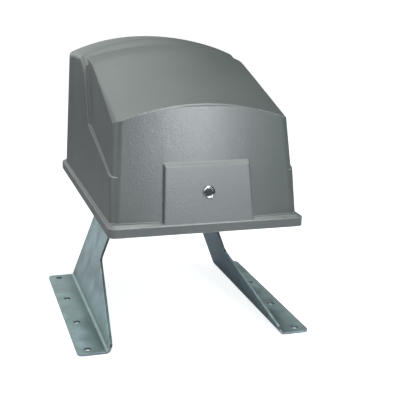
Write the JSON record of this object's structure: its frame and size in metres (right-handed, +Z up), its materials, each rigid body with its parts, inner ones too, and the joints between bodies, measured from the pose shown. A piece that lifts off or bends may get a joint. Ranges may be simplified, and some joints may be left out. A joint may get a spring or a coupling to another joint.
{
  "type": "swing gate operator",
  "caption": "Pad-mounted swing gate operator: a locked, lift-off moulded cover on a tray with splayed bent-plate legs, over a motor, worm gearbox and controls.",
  "frame": {"origin": "on the mounting pad, under the middle of the cover's lip", "axes": "+Z up, -Y towards the lock, +X to the right of someone facing the lock"},
  "size_m": [0.476, 0.606, 0.572],
  "materials": {
    "cover_plastic": "pebbled grey moulding",
    "zinc_steel": "zinc plated plate",
    "lock_chrome": "bright plated",
    "fastener_steel": "zinc plated",
    "cast_aluminium": "as cast",
    "ground_steel": "turned and ground",
    "gear_bronze": "machined bronze",
    "black_rubber": "moulded",
    "motor_paint": "black enamel",
    "magnet_ferrite": "sintered",
    "black_plastic": "moulded",
    "red_plastic": "moulded",
    "board_laminate": "solder mask",
    "terminal_plastic": "moulded",
    "case_steel": "folded sheet",
    "sink_aluminium": "anodised"
  },
  "bodies": {
    "chassis": {"right_leg": "zinc_steel", "left_leg": "zinc_steel", "leg_bolts": "fastener_steel", "leg_nuts": "fastener_steel", "chassis_tray": "zinc_steel", "conduit_bushings": "black_plastic", "lock_catch": "zinc_steel", "tray_screws": "fastener_steel", "gearbox_housing": "cast_aluminium", "gearbox_lid": "cast_aluminium", "lid_screws": "fastener_steel", "gearbox_bolts": "fastener_steel", "lower_bearing": "ground_steel", "upper_bearing": "ground_steel", "output_seal": "black_rubber", "worm_end_cap": "cast_aluminium", "worm_bearings": "ground_steel", "sensor_bracket": "zinc_steel", "limit_sensors": "fastener_steel", "sensor_screws": "fastener_steel", "motor_adapter": "cast_aluminium", "motor_frame": "motor_paint", "motor_magnets": "magnet_ferrite", "motor_end_bell": "motor_paint", "motor_screws": "fastener_steel", "motor_bearings": "ground_steel", "control_plate": "zinc_steel", "power_switch": "black_plastic", "battery_switch": "black_plastic", "reset_body": "black_plastic", "alarm_siren": "black_plastic", "control_board": "board_laminate", "board_standoffs": "black_plastic", "terminal_blocks": "terminal_plastic", "board_modules": "black_plastic", "board_capacitors": "black_plastic", "heat_sink": "sink_aluminium", "power_supply": "case_steel", "supply_terminals": "black_plastic", "left_battery": "black_plastic", "right_battery": "black_plastic", "battery_strap": "zinc_steel"},
    "cover": {"cover": "cover_plastic", "lock_body": "lock_chrome", "lock_nut": "fastener_steel"},
    "lock": {"lock_plug": "lock_chrome", "lock_cam": "zinc_steel", "cam_screw": "fastener_steel"},
    "output": {"output_shaft": "ground_steel", "worm_wheel": "gear_bronze", "wheel_key": "ground_steel", "wheel_spacer": "ground_steel", "limit_cam_open": "cast_aluminium", "limit_cam_close": "cast_aluminium"},
    "drive": {"worm_shaft": "ground_steel", "drive_coupling": "ground_steel", "motor_rotor": "ground_steel"},
    "power_key": {"power_rocker": "black_plastic"},
    "battery_key": {"battery_rocker": "black_plastic"},
    "reset_key": {"reset_plunger": "red_plastic"}
  },
  "joints": [
    {"name": "cover_lift", "type": "slide", "parent": "chassis", "child": "cover", "axis": [0, 0, 1], "range_m": [0, 0.35]},
    {"name": "lock_turn", "type": "hinge", "parent": "cover", "child": "lock", "pos_m": [0, -0.29185, 0.322], "axis": [0, -0.9849, 0.1733], "range_deg": [0, 90]},
    {"name": "drive_turn", "type": "hinge", "parent": "chassis", "child": "drive", "pos_m": [0.078, 0, 0.325], "axis": [0, 1, 0], "continuous": true},
    {"name": "output_turn", "type": "hinge", "parent": "chassis", "child": "output", "pos_m": [0, -0.095, 0.325], "axis": [0, 0, 1], "continuous": true},
    {"name": "power_rocker_tilt", "type": "hinge", "parent": "chassis", "child": "power_key", "pos_m": [-0.112, -0.211, 0.292], "axis": [-1, 0, 0], "range_deg": [0, 16]},
    {"name": "battery_rocker_tilt", "type": "hinge", "parent": "chassis", "child": "battery_key", "pos_m": [-0.076, -0.211, 0.292], "axis": [-1, 0, 0], "range_deg": [0, 16]},
    {"name": "reset_press", "type": "slide", "parent": "chassis", "child": "reset_key", "axis": [0, 1, 0], "range_m": [0, 0.004], "stiffness_N_per_m": 400, "springref_m": -0.002}
  ],
  "couplings": [
    {"joint": "output_turn", "follows": "drive_turn", "ratio": -0.033333}
  ]
}
